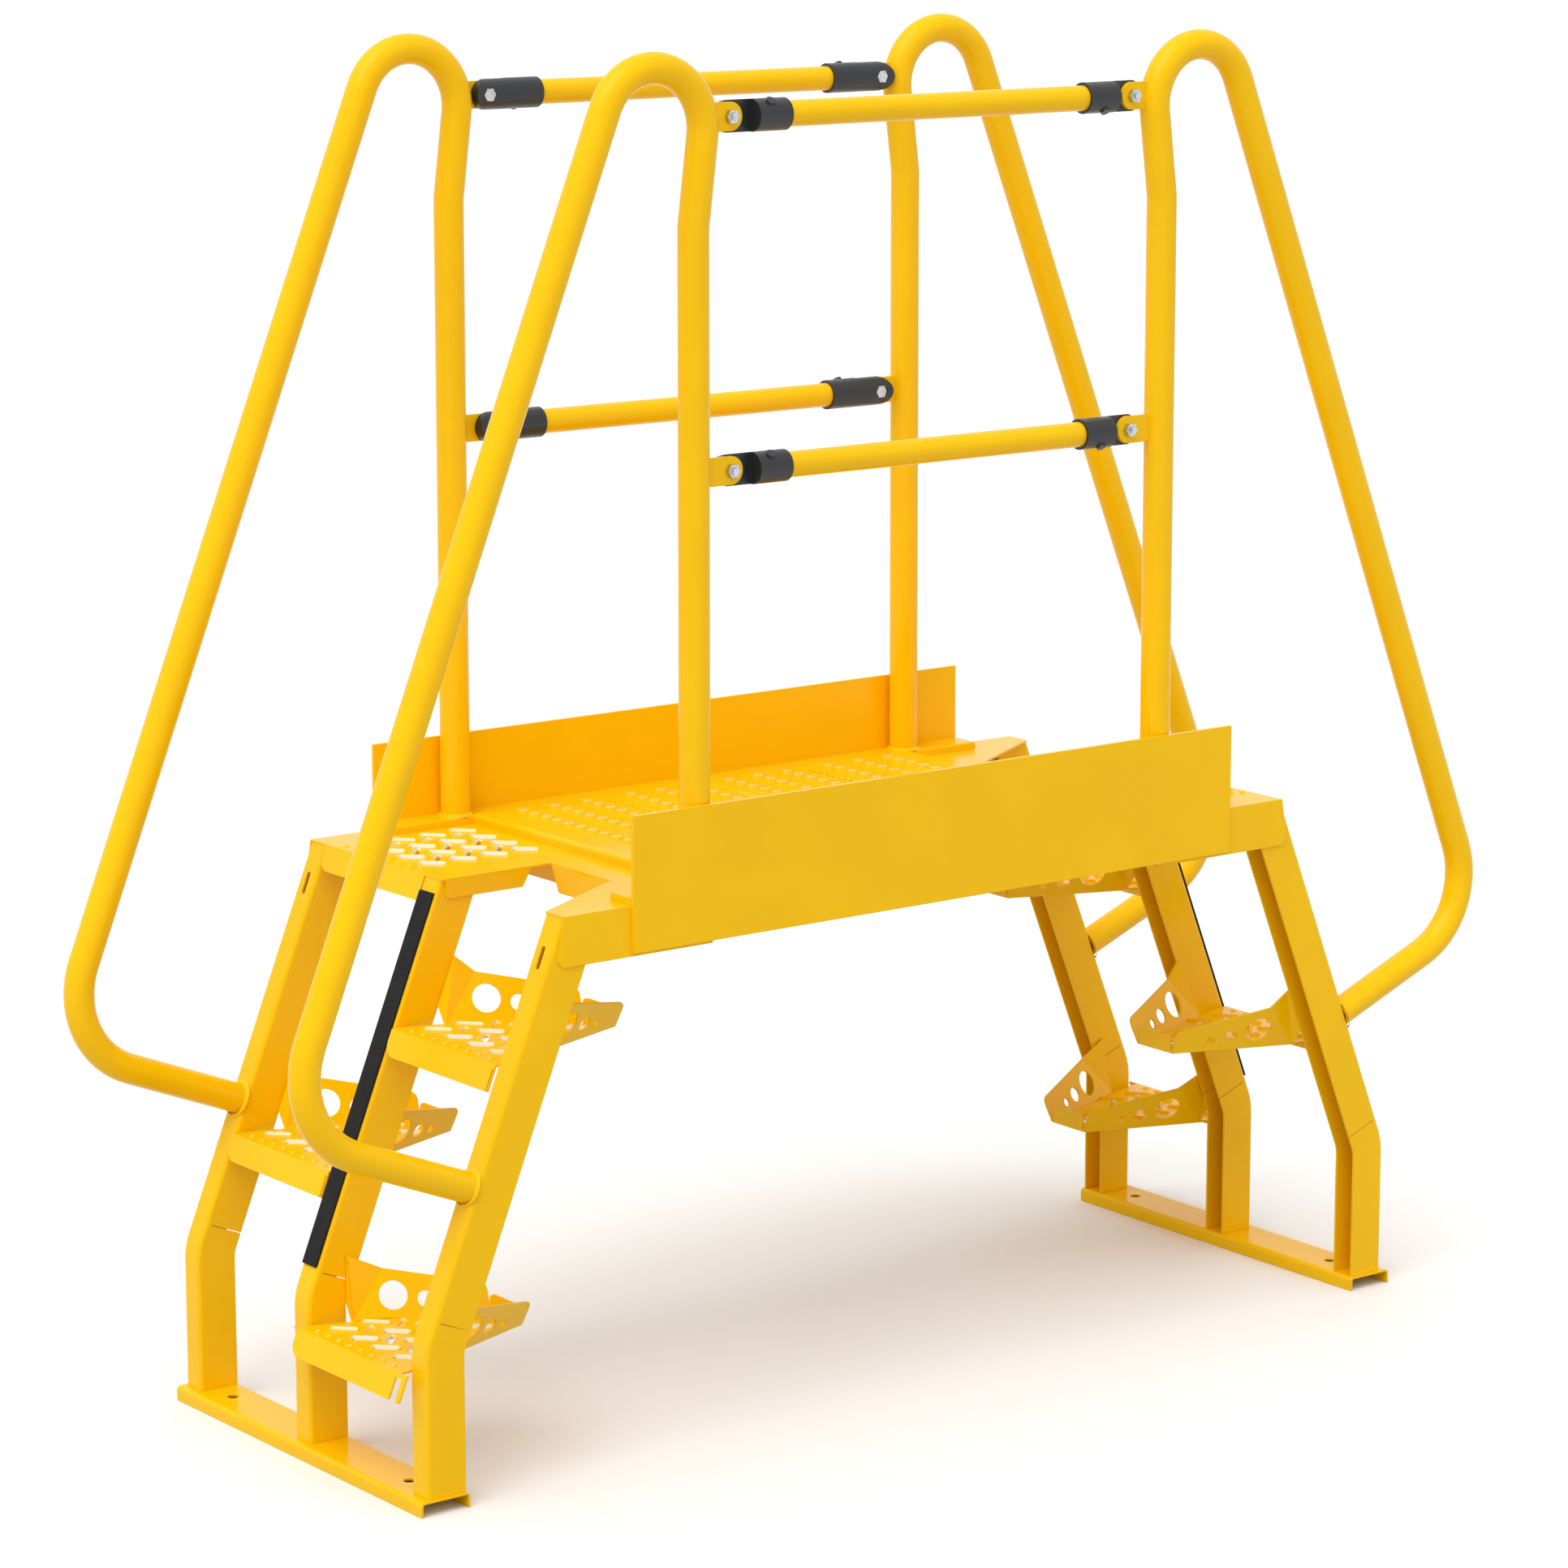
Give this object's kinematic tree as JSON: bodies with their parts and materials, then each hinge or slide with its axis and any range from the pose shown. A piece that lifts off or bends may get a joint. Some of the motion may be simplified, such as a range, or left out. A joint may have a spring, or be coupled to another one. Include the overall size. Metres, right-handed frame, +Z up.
{
  "type": "crossover platform",
  "caption": "Industrial crossover platform with two steep alternating-tread flights, a short perforated deck, toe boards, looped handrails and tubular guard rails.",
  "frame": {"origin": "centre of the footprint on the floor", "axes": "+X in the crossing direction, +Y across the walkway, +Z up"},
  "size_m": [2.0766, 0.6276, 1.8738],
  "materials": {
    "yellow_coat": "glossy powder coat on steel",
    "black_plastic": "satin black",
    "black_rubber": "matt",
    "zinc": "zinc plated"
  },
  "bodies": {
    "root": {"deck_plank_1": "yellow_coat", "deck_plank_2": "yellow_coat", "deck_plank_3": "yellow_coat", "deck_plank_4": "yellow_coat", "fitting_left_far_middle": "black_plastic", "fitting_left_far_top": "black_plastic", "fitting_left_near_middle": "black_plastic", "fitting_left_near_top": "black_plastic", "fitting_right_far_middle": "black_plastic", "fitting_right_far_top": "black_plastic", "fitting_right_near_middle": "black_plastic", "fitting_right_near_top": "black_plastic", "floor_channel_left": "yellow_coat", "floor_channel_right": "yellow_coat", "front_strip_left": "black_rubber", "front_strip_right": "black_rubber", "guard_rail_far_middle": "yellow_coat", "guard_rail_far_top": "yellow_coat", "guard_rail_near_middle": "yellow_coat", "guard_rail_near_top": "yellow_coat", "handrail_left_far": "yellow_coat", "handrail_left_near": "yellow_coat", "handrail_right_far": "yellow_coat", "handrail_right_near": "yellow_coat", "head_plate_left": "yellow_coat", "head_plate_right": "yellow_coat", "rail_bolts_far": "zinc", "rail_bolts_near": "zinc", "side_beam_far": "yellow_coat", "side_beam_near": "yellow_coat", "stringer_left_far": "yellow_coat", "stringer_left_middle": "yellow_coat", "stringer_left_near": "yellow_coat", "stringer_right_far": "yellow_coat", "stringer_right_middle": "yellow_coat", "stringer_right_near": "yellow_coat", "toe_board_far": "yellow_coat", "toe_board_near": "yellow_coat", "tread_left_1": "yellow_coat", "tread_left_2": "yellow_coat", "tread_left_3": "yellow_coat", "tread_right_1": "yellow_coat", "tread_right_2": "yellow_coat", "tread_right_3": "yellow_coat"}
  },
  "joints": []
}
